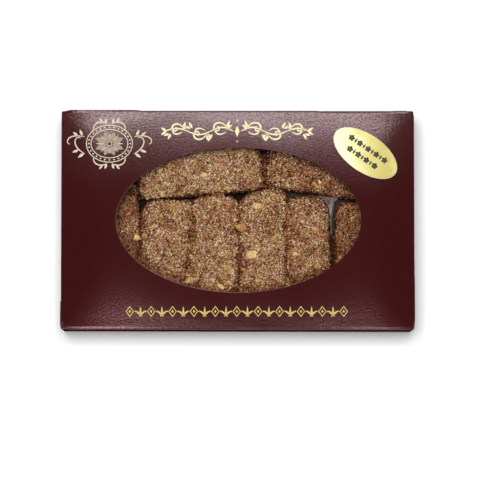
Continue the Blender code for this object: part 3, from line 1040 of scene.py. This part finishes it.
def flourish():
    """The scrolling vine under the lid's back edge, mirrored like the sprigs."""
    art = Inlay()
    art.disc((0.0, 0.0), (1.2, 3.0), 4)
    for height in (5.2, -5.2):
        art.disc((0.0, height), (0.6, 0.6))
    stem, widths = [], []
    for step in range(STEM_STEPS + 1):
        share = step / STEM_STEPS
        swing = math.sin(share * 3 * math.pi)
        stem.append((2.0 + 34.5 * share, 2.1 * swing * (1 - 0.4 * share)))
        widths.append(0.40 + 0.38 * abs(swing))
    art.ribbon(stem, widths)
    for x, way, size in ((5.0, 1, 1.0), (15.4, -1, 0.95), (27.0, 1, 0.85)):
        height = way * 1.5 * size
        art.pen((x, height), way * 62, 15.5 * size, (way * -0.10 / size, way * -0.62 / size),
                (0.32, 0.88, 0.36), way * -0.5)
        art.pen((x + 0.6, -height * 0.2), way * -40, 8.5 * size, (way * 0.10, way * 0.50),
                (0.28, 0.70, 0.32), way * 0.4)
        for lean, length in ((112, 4.4), (150, 3.4)):
            art.leaf((x + 0.4, height), way * lean, length * size, 1.3)
        art.leaf((x + 7.6 * size, -height), way * -62, 3.9 * size, 1.25)
        art.leaf((x + 8.6 * size, -height), way * -20, 3.4 * size, 1.15)
    for heading in (34, -34):
        art.leaf((35.6, 0.0), heading, 3.4, 1.3)
    return art.mirrored()


def in_row(count, pitch):
    """Places along a row round the middle, and whether each is an even one."""
    return [((number - (count - 1) / 2) * pitch, number % 2 == 0) for number in range(count)]


def border_row():
    """A row of framed lozenges and three-leaved buds with dots between them."""
    art = Inlay()
    for x, even in in_row(BORDER_COUNT, BORDER_PITCH):
        if even:
            art.frame((x, 0.0), (2.1, 2.8), 0.48)
            art.disc((x, 0.0), (0.6, 0.8), 4)
        else:
            for height, heading, length, width in (
                    (-2.7, 90, 5.4, 0.95), (-1.6, 38, 3.4, 0.95), (-1.6, 142, 3.4, 0.95),
                    (-1.2, -60, 1.7, 0.6), (-1.2, -120, 1.7, 0.6)):
                art.leaf((x, height), heading, length, width)
    for x, _ in in_row(BORDER_COUNT - 1, BORDER_PITCH):
        art.disc((x, 0.0), (0.34, 0.34), 10)
    return art


def label_rows():
    """Two short rows of small blossoms and slim lozenges for the label."""
    art = Inlay()
    for row_y, count in ((2.5, 9), (-2.7, 7)):
        for x, even in in_row(count, 2.5):
            if even:
                for petal in range(5):
                    art.leaf((x, row_y), 90 + 72 * petal, 1.75, 1.25, 1.3)
            else:
                art.disc((x, row_y), (0.6, 1.5), 4)
    return art


def cube_grid(cells):
    """Points and quads of the skin of a cube from -1 to 1, split into cells."""
    index, points, faces = {}, [], []

    def corner(*place):
        if place not in index:
            index[place] = len(points)
            points.append(Vector([2 * step / count - 1 for step, count in zip(place, cells)]))
        return index[place]

    square = ((0, 0), (1, 0), (1, 1), (0, 1))
    for (a, b, c), steps in (
            ((0, 1, 2), square), ((1, 2, 0), square), ((0, 2, 1), square[:1] + square[:0:-1])):
        for first, second, end in product(range(cells[a]), range(cells[b]), (0, cells[c])):
            quad = []
            for step in steps:
                place = {a: first + step[0], b: second + step[1], c: end}
                quad.append(corner(place[0], place[1], place[2]))
            faces.append(quad if end else quad[::-1])
    return points, faces


def corner_reach(along, across, half_length, half_width, radius):
    """How far a line from the middle runs to a rounded rectangle's outline."""
    widest = max(abs(along), abs(across), TINY)
    x = abs(along) * half_length / widest
    y = abs(across) * half_width / widest
    if x <= half_length - radius or y <= half_width - radius:
        return 1 / widest
    direction = Vector((x, y)).normalized()
    centre = Vector((half_length - radius, half_width - radius))
    nearest = direction.dot(centre)
    inside = nearest ** 2 - centre.length_squared + radius ** 2
    return (nearest + math.sqrt(max(inside, 0.0))) / math.hypot(x, y) / widest


def bar_surface(cube_point, bar):
    """Carry a point of the cube from -1 to 1 onto the bar's smooth surface."""
    along, across, up = cube_point
    length, width, height = bar["size"]
    left, right = bar["corners"]
    radius = HIDDEN_CORNER
    if along > 0:
        radius = left if across > 0 else right
    plan = 1 / corner_reach(along, across, length / 2, width / 2, radius)
    rounding = CROWN_SQUARENESS if up > 0 else BASE_SQUARENESS
    reach = (plan ** rounding + abs(up) ** rounding) ** (-1 / rounding)
    x = along * reach * length / 2
    y = across * reach * width / 2 * (1 + bar["widening"] * along * reach)
    return Vector((x + bar["slant"] * y * (1 + along * reach) / 2, y, up * reach * height / 2))


def bar_relief(place, normal):
    """Uneven swelling and crumb relief of the nut coat, less on the sides."""
    relief = sum(ripple(place, wave_length) * depth for wave_length, depth in COAT_RELIEF)
    return relief * (SIDE_RELIEF + (1 - SIDE_RELIEF) * max(normal.z, 0.0))


def bar_matrix(bar):
    lift = Matrix.Rotation(-math.radians(bar["lift"]), 4, "Y")
    turn = Matrix.Rotation(math.radians(bar["turn"]), 4, "Z")
    middle = Matrix.Translation((*bar["at"], BAR_FLOOR + bar["size"][2] / 2))
    return middle @ turn @ lift


def nut_places(bar):
    """The smaller nut lumps of a bar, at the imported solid's places."""
    draw = random.Random(NUT_SEED + round(bar["at"][0] * 1e4))

    def loosely(number, count, margin, reach):
        """A place from -reach to reach, drawn within its own share of the way."""
        return (number + draw.uniform(margin, 1 - margin)) / count * 2 * reach - reach

    places = []
    for row, column in product(range(NUT_ROWS), range(NUT_COLUMNS)):
        along = loosely(row, NUT_ROWS, 0.25, 0.85)
        across = loosely(column, NUT_COLUMNS, 0.2, 0.7)
        top = bar_matrix(bar) @ bar_surface(Vector((along, across, 1.0)), bar)
        places.append((top.x, top.y, draw.uniform(*NUT_DIAMETERS)))
    return places


def tree_of(mesh):
    return BVHTree.FromPolygons(
        [vertex.co for vertex in mesh.vertices],
        [polygon.vertices for polygon in mesh.polygons])


def highest(trees, x, y):
    """The highest of these surfaces at x and y, or None beside them all."""
    above = Vector((x, y, CARTON_HEIGHT))
    hits = [tree.ray_cast(above, Vector((0, 0, -1)))[0] for tree in trees]
    return max((hit for hit in hits if hit is not None), key=lambda hit: hit.z, default=None)


def raise_lumps(mesh, bar):
    """Swell the coat over the smaller nut pieces."""
    tree = tree_of(mesh)
    for x, y, diameter in nut_places(bar):
        hit = highest([tree], x, y)
        if hit is None:
            continue
        radius = diameter * LUMP_RADIUS
        middle = hit.z - diameter * NUT_SINK * NUT_FLATNESS
        for vertex in mesh.vertices:
            away = math.hypot(vertex.co.x - x, vertex.co.y - y)
            if away < radius and vertex.co.z > middle - diameter:
                lump = middle + NUT_FLATNESS * math.sqrt(radius ** 2 - away ** 2)
                vertex.co.z = max(vertex.co.z, lump)


def core_mesh(name, bar, materials):
    """A bar's body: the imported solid's form with finer relief."""
    cells = [max(4, round(part / CORE_CELL)) for part in bar["size"]]
    points, faces = cube_grid(cells)
    place = bar_matrix(bar)
    piece = add_mesh(
        name, [place @ bar_surface(point, bar) for point in points], faces, materials)
    normals = [vertex.normal.copy() for vertex in piece.data.vertices]
    for vertex, normal in zip(piece.data.vertices, normals):
        vertex.co += normal * bar_relief(vertex.co, normal)
        vertex.co.z = max(vertex.co.z, BAR_FLOOR)
    raise_lumps(piece.data, bar)
    piece.data.update()
    return piece


def triangle_arrays(mesh):
    """Corners, areas and normals of a mesh's triangles."""
    mesh.calc_loop_triangles()
    places = np.empty(len(mesh.vertices) * 3)
    mesh.vertices.foreach_get("co", places)
    corners = np.empty(len(mesh.loop_triangles) * 3, dtype=np.int64)
    mesh.loop_triangles.foreach_get("vertices", corners)
    triangles = places.reshape(-1, 3)[corners.reshape(-1, 3)]
    cross = np.cross(triangles[:, 1] - triangles[:, 0], triangles[:, 2] - triangles[:, 0])
    double = np.linalg.norm(cross, axis=1)
    return triangles, double / 2, cross / np.maximum(double, 1e-12)[:, None]


def scatter(mesh, draw):
    """Places and normals for crumbs: close together on top, few low down."""
    triangles, areas, normals = triangle_arrays(mesh)
    height = triangles[:, :, 2].mean(axis=1)
    share = np.where(height > height.max() - SIDE_DEPTH, 1.0, LOW_SIDE_SHARE)
    weights = areas * np.where(normals[:, 2] < UNDERSIDE, 0.0, share)
    count = int(weights.sum() / CRUMB_SPACING ** 2 * CRUMB_TRIES)
    chosen = draw.choice(len(weights), count, p=weights / weights.sum())
    first, second = draw.random((2, count))
    flip = first + second > 1
    first[flip], second[flip] = 1 - first[flip], 1 - second[flip]
    corner = triangles[chosen]
    places = (
        corner[:, 0] + first[:, None] * (corner[:, 1] - corner[:, 0])
        + second[:, None] * (corner[:, 2] - corner[:, 0]))
    kept = thinned(places, CRUMB_SPACING)
    return places[kept], normals[chosen][kept]


def thinned(places, spacing):
    """Numbers of the places that lie no closer than the spacing to others."""
    cells, kept = {}, []
    keys = np.floor(places / spacing).astype(int)
    around = list(product((-1, 0, 1), repeat=3))
    for number, (key, place) in enumerate(zip(keys.tolist(), places.tolist())):
        near = (
            other for a, b, c in around
            for other in cells.get((key[0] + a, key[1] + b, key[2] + c), ()))
        if all(math.dist(place, other) >= spacing for other in near):
            cells.setdefault(tuple(key), []).append(place)
            kept.append(number)
    return kept


def caught_places(along, across, level, tone, trees, draw):
    """Places and tones for crumbs where the bars leave a dip below this height; over a deep slit
    the tone takes a painted shade.
    """
    places, tones = [], []
    for x, y in product(np.arange(*along, CAUGHT_STEP), np.arange(*across, CAUGHT_STEP)):
        place = Vector((x, y, level))
        place.z += ripple(place, CAUGHT_WAVE) * CAUGHT_RELIEF
        top = highest(trees, x, y)
        bed = 0.0 if top is None else top.z
        if bed < place.z:
            places.append(np.array(place) + draw.uniform(-0.5, 0.5, 3) * CAUGHT_STEP)
            tones.append(tone + (SLIT_SHADE_TONE if bed < level - SLIT_DEPTH else 0.0))
    return np.array(places), np.array(tones)


def choose_kinds(places, tones, draw):
    """A kind for each crumb: paler kinds in pale patches and on pale bars, darker kinds where the
    tones paint shade.
    """
    shares, paleness = (
        np.array([facts[fact] for facts in CRUMB_KINDS.values()]) for fact in ("share", "paleness"))
    pale = tones + sum(
        np.array([ripple(place, wave_length) for place in places]) * strength
        for wave_length, strength in PALE_PATCHES)
    weights = shares * np.exp(np.outer(pale, paleness))
    limits = np.cumsum(weights / weights.sum(axis=1, keepdims=True), axis=1)
    return (draw.random(len(places))[:, None] > limits).sum(axis=1)


def coat_tones(name, places, normals):
    """How pale the coat is at each place, darker with painted shade at rims, sides, flanks and deep
    between bars.
    """
    bar = BARS[name]
    tones = bar["tone"] + STEEP_SHADE_TONE * np.clip(1 - normals[:, 2] / STEEP_SHADE_START, 0.0, 1.0)
    x, y = ((places[:, axis] - WINDOW_CENTRE[axis]) / half for axis, half in enumerate(
        (WINDOW_HALF_LENGTH, WINDOW_HALF_WIDTH)))
    rim_shade = np.interp(y, (-1.0, 1.0), RIM_SHADE_TONES)
    tones += rim_shade * np.clip((np.hypot(x, y) - RIM_SHADE_START) / (1 - RIM_SHADE_START), 0.0, 1.0)
    drop = BAR_FLOOR + bar["size"][2] - places[:, 2]
    tones += DEEP_SHADE_TONE * np.clip((drop - DEEP_SHADE_START) / DEEP_SHADE_FADE, 0.0, 1.0)
    local = places - np.array((*bar["at"], 0.0))
    turn = math.radians(bar["turn"])
    leftward = local[:, 1] * math.cos(turn) - local[:, 0] * math.sin(turn)
    for width, tone, across in zip(FLANK_SHADE_WIDTHS, bar["flanks"], (leftward, -leftward)):
        tones += tone * np.exp((across - bar["size"][1] / 2) / width)
    return tones


def chip_forms(draw):
    """Angular chips: eight-sided forms with their corners moved unevenly."""
    corners = np.array([
        (1, 0, 0), (-1, 0, 0), (0, 1, 0), (0, -1, 0), (0, 0, 1), (0, 0, -1)], float)
    reach = draw.uniform(*CHIP_REACH, (CHIP_FORMS, 6, 1))
    return corners * reach + draw.uniform(-CHIP_SHIFT, CHIP_SHIFT, (CHIP_FORMS, 6, 3))


def chip_points(places, normals, draw):
    """Corners of a chip at each place, laid roughly flat on the surface."""
    count = len(places)
    up = normals + draw.normal(0.0, CRUMB_TILT, (count, 3))
    up /= np.linalg.norm(up, axis=1, keepdims=True)
    side = np.cross(up, draw.normal(size=(count, 3)))
    side /= np.linalg.norm(side, axis=1, keepdims=True)
    ahead = np.cross(up, side)
    low, high = CRUMB_SIZE
    size = low + (high - low) * draw.random(count) ** CRUMB_SIZE_BIAS
    width, height = (size * draw.uniform(*share, count) for share in (CHIP_WIDTH, CHIP_HEIGHT))
    scale = np.stack([size, width, height], 1)
    forms = chip_forms(draw)[draw.integers(0, CHIP_FORMS, count)] * scale[:, None, :] / 2
    centre = places + normals * (size * CRUMB_RISE)[:, None]
    return (
        centre[:, None, :] + forms[:, :, 0:1] * side[:, None, :]
        + forms[:, :, 1:2] * ahead[:, None, :] + forms[:, :, 2:3] * up[:, None, :])


def add_crumbs(cores, trees):
    """Crumbs of every kind over all the bars, one piece for each kind."""
    draw = np.random.default_rng(CRUMB_SEED)
    points, kinds = [], []

    def add(places, normals, tones):
        kinds.append(choose_kinds(places, tones, draw))
        points.append(chip_points(places, normals, draw))

    for name, core in cores.items():
        places, normals = scatter(core.data, draw)
        add(places, normals, coat_tones(name, places, normals))
    for area in CAUGHT_CRUMBS:
        places, tones = caught_places(*area, trees, draw)
        add(places, np.tile((0.0, 0.0, 1.0), (len(places), 1)), tones)
    points, kinds = np.concatenate(points), np.concatenate(kinds)
    for number, (name, facts) in enumerate(CRUMB_KINDS.items()):
        chips = points[kinds == number]
        starts = np.arange(len(chips)) * chips.shape[1]
        faces = (CHIP_FACES + starts[:, None, None]).reshape(-1, 3)
        finish = crumb_shade(name + "_coat", facts["colour"])
        piece = add_mesh(name, chips.reshape(-1, 3).tolist(), faces.tolist(), [finish])
        settle(piece, "nut_coat")


def add_lump(work, centre, diameter, draw):
    """A chopped nut piece: an uneven lump with a few flattened sides."""
    made = bmesh.ops.create_icosphere(work, subdivisions=3, radius=diameter / 2)
    spin = Euler([draw.uniform(0, math.tau) for _ in range(3)]).to_matrix()
    shift = Vector([draw.uniform(-9, 9) for _ in range(3)])
    cuts = [
        (Vector([draw.gauss(0, 1) for _ in range(3)]).normalized(), draw.uniform(*NUT_CUT_DEPTH))
        for _ in range(NUT_CUTS)]
    for vertex in made["verts"]:
        unit = vertex.co.normalized()
        reach = NUT_REACH + sum(
            noise.noise(unit * pace + shift) * depth for pace, depth in NUT_BUMPS)
        for cut, depth in cuts:
            reach = min(reach, depth / max(unit.dot(cut), NUT_CUT_EDGE))
        place = spin @ (unit * reach * diameter / 2 * NUT_FULLNESS)
        place.y *= NUT_NARROWNESS
        place.z *= NUT_FLATNESS
        vertex.co = centre + place


def add_nuts(trees, liner_tree):
    """The larger nut pieces, one piece for each kind."""
    draw = random.Random(NUT_SEED)
    lumps = {kind: bmesh.new() for kind in NUT_COLOURS}
    places = [(nut, trees) for nut in LARGE_NUTS] + [(LINER_CRUMB, [liner_tree])]
    for (x, y, diameter, kind), below in places:
        centre = highest(below, x, y) - Vector((0, 0, diameter * NUT_SINK * NUT_FLATNESS))
        add_lump(lumps[kind], centre, diameter, draw)
    for kind, work in lumps.items():
        mesh = bpy.data.meshes.new(kind + "_pieces")
        work.to_mesh(mesh)
        work.free()
        mesh.materials.append(nut_shade(kind + "_meat", NUT_COLOURS[kind]))
        mesh.polygons.foreach_set("use_smooth", [True] * len(mesh.polygons))
        settle(add_object(mesh.name, mesh), "nut_coat")


def add_carton():
    edge = mottled_shade(
        "raw_board_edge", 0.85, ((0.08, 0.035, 0.035), (0.19, 0.12, 0.12)),
        (0.0007, 3.0), (0.0003, 2.0, 0.00003))
    inside = mottled_shade(
        "inner_board", 0.8, ((0.30, 0.27, 0.24), (0.42, 0.38, 0.34)),
        (0.0015, 4.0), (0.0006, 3.0, 0.00002))
    finishes = [laminate_shade("maroon_laminate", MAROON, 0.5, 0.05), edge, inside]
    lid = thicken(lid_mesh(finishes), BOARD, 1, 2)
    settle(lid, "carton_board", "carton")
    # The walls are matte, and their lighter maroon is a painted reflection in place of gloss
    finishes = [laminate_shade("wall_laminate_painted_sheen", WALL_PAINTED_SHEEN_MAROON, 0.0, 0.4), edge, inside]
    settle(thicken(tray_mesh(finishes), BOARD, 0, 2), "carton_board")
    for side in FLAP_LENGTHS:
        settle(thicken(flap_mesh(side, finishes), FLAP, 0, 1), "carton_board")


def add_film():
    reach = (WINDOW_HALF_LENGTH + FILM_MARGIN, WINDOW_HALF_WIDTH + FILM_MARGIN)
    low, high = (
        [middle + way * half for middle, half in zip(WINDOW_CENTRE, reach)] for way in (-1, 1))
    film = grid_mesh("film_sheet", low, high, SHEET_CELL, film_height, film_shade())
    settle(film, "clear_film", "window_film")


def add_liner():
    """The liner and its raised ridge, which is given back; both carry painted shade."""
    # Painted shade in the deep gaps between bars: the flat liner is nearly black, and greyer
    # towards the raised ridge
    painted_shade_paper = paper_shade(
        "liner_paper_painted_shade", 0.6, 0.05, 0, (0.018, 0.027),
        ((0.008, 0.005, 0.004), (0.018, 0.012, 0.009)),
        ((0.040, 0.030, 0.025), (0.070, 0.055, 0.047)))
    low, high = ((way * LINER_HALF_LENGTH, way * LINER_HALF_WIDTH) for way in (-1, 1))
    sheet = grid_mesh("liner_sheet", low, high, SHEET_CELL, liner_height, painted_shade_paper)
    settle(sheet, "liner_paper", "liner")
    # The raised ridge turns darker towards the back, a painted shade under the back bars
    waxed = paper_shade(
        "waxed_liner_paper", 0.42, 0.5, 1, (0.0060, 0.0120),
        ((0.196, 0.176, 0.167), (0.286, 0.260, 0.247)),
        ((0.098, 0.080, 0.072), (0.150, 0.125, 0.114)), (0.0004, 0.00001))
    raised = grid_mesh("liner_ridge", *RAISED_AREA, RAISED_CELL, raised_height, waxed)
    return settle(raised, "liner_paper")


def add_label():
    rim = mottled_shade(
        "label_paper_edge", 0.6, ((0.66, 0.62, 0.40), (0.78, 0.75, 0.56)),
        (0.002, 2.0), (0.0004, 2.0, 0.00001))
    sheet = label_mesh([label_shade(), rim])
    settle(thicken(sheet, LABEL_THICKNESS), "gold_label", "label")
    ink = mottled_shade(
        "black_ink", 0.45, ((0.012, 0.011, 0.008), (0.03, 0.027, 0.02)),
        (0.001, 2.0), (0.0005, 2.0, 0.000004))
    rows = label_rows().lay("label_ornament", LABEL_CENTRE, LABEL_TURN, LABEL_LIFT + INK_LIFT, ink)
    settle(rows, "gold_label")


def add_foil():
    """The ornaments stamped on the lid, each in its own foil."""
    foils = {
        name: mottled_shade(
            name + "_foil", roughness, shades(colour, 0.82, 1.1), (0.0016, 3.0),
            (0.0010, 2.0, 0.00001), metallic)
        for name, (colour, metallic, roughness) in FOILS.items()}
    lines, petals = medallion()
    for name, art, centre, foil in (
            ("medallion_lines", lines, MEDALLION_CENTRE, "pale_gold_painted_sheen"),
            ("medallion_petals", petals, MEDALLION_CENTRE, "tan"),
            ("medallion_sprigs", sprigs(), MEDALLION_CENTRE, "pale_gold_painted_sheen"),
            ("scroll_ornament", flourish(), SCROLL_CENTRE, "bright_gold_painted_sheen"),
            ("border_ornament", border_row(), BORDER_CENTRE, "yellow_gold")):
        settle(art.lay(name, centre, 0.0, FOIL_LIFT, foils[foil]), "carton_board")


def add_toffee(raised_liner):
    """The bars' cores, the crumbs of their coat and the larger nut pieces."""
    coat = core_shade()
    cores = {}
    for name, bar in BARS.items():
        core = core_mesh(name + "_bar", bar, [coat])
        cores[name] = settle(core, "nut_coat", name)
    trees = [tree_of(core.data) for core in cores.values()]
    add_crumbs(cores, trees)
    add_nuts(trees, tree_of(raised_liner.data))


def add_world():
    """White to the camera, a soft fill, and cards of light for reflections."""
    world = bpy.data.worlds.new("studio")
    bpy.context.scene.world = world
    world.use_nodes = True
    nodes = Nodes(world.node_tree)
    plus, times = nodes.plus, nodes.times

    def fade(value, start, end, low=0.0, high=1.0):
        return nodes.spread(value, low, high, start, end, "SMOOTHSTEP")

    def profile(value, stops):
        """Brightness along a direction, from one stop to the next."""
        first, last = stops[0][0], stops[-1][0]
        most = max(level for _, level in stops)
        greys = [
            ((position - first) / (last - first), [level / most] * 3)
            for position, level in stops]
        return times(nodes.ramp(nodes.spread(value, 0.0, 1.0, first, last), *greys), most)

    def choose(factor, first, second):
        rest = nodes.combine("SUBTRACT", 1.0, factor)
        return plus(times(rest, first), times(factor, second))

    x, y, z = nodes.axes(nodes.node("ShaderNodeTexCoord").outputs["Generated"])
    slanted = plus(y, times(plus(x, -BACK_CARD_ANCHOR), BACK_CARD_SLANT))
    end = plus(x, fade(y, *BACK_CARD_CORNER, 0.0, BACK_CARD_CORNER_SHIFT))
    back_ends = times(fade(end, *BACK_CARD_LEFT), fade(end, *BACK_CARD_RIGHT, 1.0, 0.0))
    back_card = times(profile(slanted, BACK_CARD), back_ends)
    front_card = times(profile(y, FRONT_CARD), profile(x, FRONT_CARD_ALONG))
    corner = plus(y, times(plus(x, LEFT_SPOT_PIVOT), -1.0))
    spot = times(profile(x, LEFT_SPOT), fade(corner, *LEFT_SPOT_EDGE))
    sideways = nodes.combine("ABSOLUTE", x, 0.0)
    glow = times(fade(sideways, *GLOW_SIDES), fade(y, *GLOW_BACK))
    glossy = plus(plus(plus(back_card, spot), front_card), plus(glow, fade(z, *ROOM_GLOW)))
    rays = nodes.node("ShaderNodeLightPath").outputs
    strength = choose(rays["Is Glossy Ray"], WORLD_FILL, glossy)
    strength = choose(rays["Is Camera Ray"], strength, 1.0)
    tint = nodes.ramp(nodes.spread(y, 0.0, 1.0, *TINT_RANGE), *TINTS)
    colour = nodes.mix(rays["Is Glossy Ray"], (1.0, 1.0, 1.0), tint)
    background = nodes.tree.nodes["Background"]
    nodes.fill(background, {"Color": colour, "Strength": strength})


def add_floor():
    finish = mottled_shade("pale_floor", 0.9, ((0.79,) * 3, (0.81,) * 3), (0.2, 2.0), None)
    corners = [(x * FLOOR_REACH, y * FLOOR_REACH, FLOOR_HEIGHT)
               for x, y in ((-1, -1), (1, -1), (1, 1), (-1, 1))]
    floor = add_mesh("floor", corners, [(0, 1, 2, 3)], [finish])


def add_key_light():
    data = bpy.data.lights.new("key", "AREA")
    data.shape = "RECTANGLE"
    data.size, data.size_y = KEY_SIZE
    data.energy = KEY_POWER
    lamp = add_object("key", data)
    lamp.location = KEY_PLACE
    lamp.visible_glossy = False


def add_camera():
    data = bpy.data.cameras.new("camera")
    data.lens = CAMERA_LENS
    data.sensor_width = CAMERA_SENSOR
    data.clip_end = CAMERA_FAR
    camera = add_object("camera", data)
    tilt = math.radians(CAMERA_TILT)
    away = Vector((0.0, -math.sin(tilt), math.cos(tilt))) * CAMERA_DISTANCE
    camera.location = Vector(AIM) + away
    camera.rotation_euler = (tilt, 0.0, 0.0)
    bpy.context.scene.camera = camera


def add_studio():
    add_world()
    add_floor()
    add_key_light()
    add_camera()
    bpy.context.scene.view_settings.view_transform = "Standard"


add_carton()
add_film()
raised_liner = add_liner()
add_label()
add_foil()
add_toffee(raised_liner)
add_studio()
